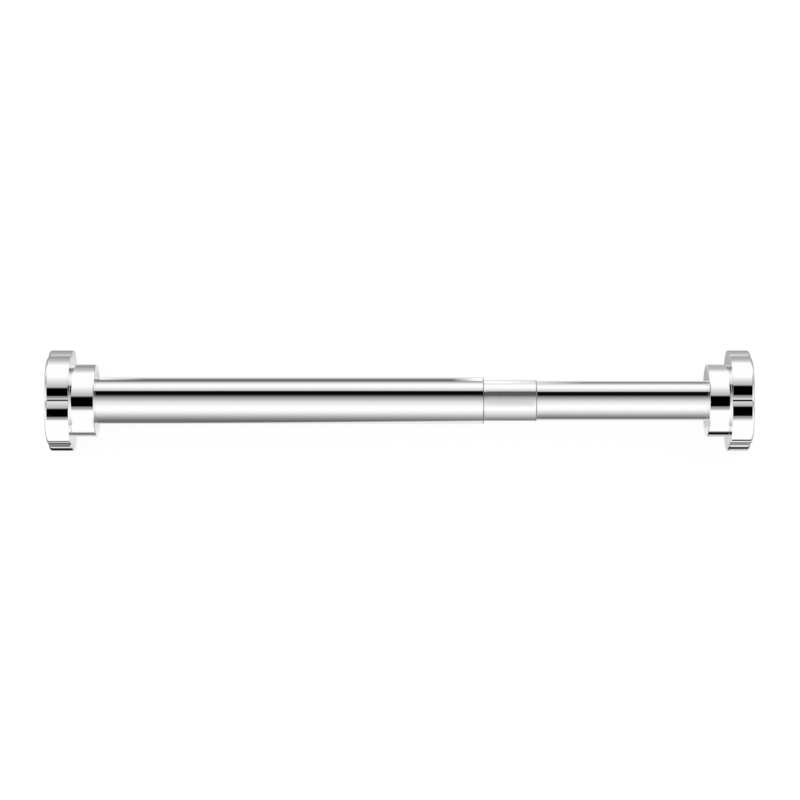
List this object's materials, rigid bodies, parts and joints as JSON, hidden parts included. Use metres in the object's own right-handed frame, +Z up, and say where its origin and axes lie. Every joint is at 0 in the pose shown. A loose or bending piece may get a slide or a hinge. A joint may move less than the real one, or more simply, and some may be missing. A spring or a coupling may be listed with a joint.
{
  "type": "spring tension rod",
  "caption": "Telescopic chrome tension rod with lobed grip caps at both ends: twisting the tubes sets its length and a spring inside presses it between two walls.",
  "frame": {"origin": "on the rod's axis, in the face of the left wall pad", "axes": "+X along the rod from the wide tube's end to the narrow tube's end; +Z up, as the rod lies on two lobes of each cap"},
  "size_m": [0.3788, 0.0544, 0.0534],
  "materials": {
    "chromed_tube": "polished",
    "chromed_cap": "polished",
    "sleeve_plastic": "gloss",
    "pad_rubber": "matte",
    "white_plastic": "satin",
    "ring_plastic": "satin",
    "zinc_steel": "satin",
    "spring_steel": "satin"
  },
  "bodies": {
    "wide_tube": {"outer_tube": "chromed_tube", "mouth_sleeve": "sleeve_plastic", "left_cap": "chromed_cap", "left_pad": "pad_rubber", "left_tube_plug": "white_plastic", "left_cap_screw": "zinc_steel", "left_screw_washer": "zinc_steel", "spindle_guide": "white_plastic", "compression_spring": "spring_steel"},
    "lead_screw": {"spindle": "zinc_steel", "spindle_stop_washer": "zinc_steel", "spindle_stop_screw": "zinc_steel"},
    "running_ring": {"guide_ring": "ring_plastic"},
    "narrow_tube": {"inner_tube": "chromed_tube", "nut_plug": "white_plastic", "right_tube_plug": "white_plastic", "right_cap": "chromed_cap", "right_pad": "pad_rubber", "right_cap_screw": "zinc_steel", "right_screw_washer": "zinc_steel"}
  },
  "joints": [
    {"name": "spring_travel", "type": "slide", "parent": "wide_tube", "child": "lead_screw", "axis": [1, 0, 0], "range_m": [-0.015, 0], "stiffness_N_per_m": 4000, "springref_m": 0.006, "deforming": ["compression_spring"]},
    {"name": "extend", "type": "slide", "parent": "lead_screw", "child": "running_ring", "axis": [1, 0, 0], "range_m": [-0.074, 0.04]},
    {"name": "twist", "type": "hinge", "parent": "running_ring", "child": "narrow_tube", "pos_m": [0.168, 0, 0], "axis": [1, 0, 0], "range_deg": [-2665, 1441]}
  ],
  "couplings": [
    {"joint": "twist", "follows": "extend", "rad_per_m": 628.32}
  ]
}
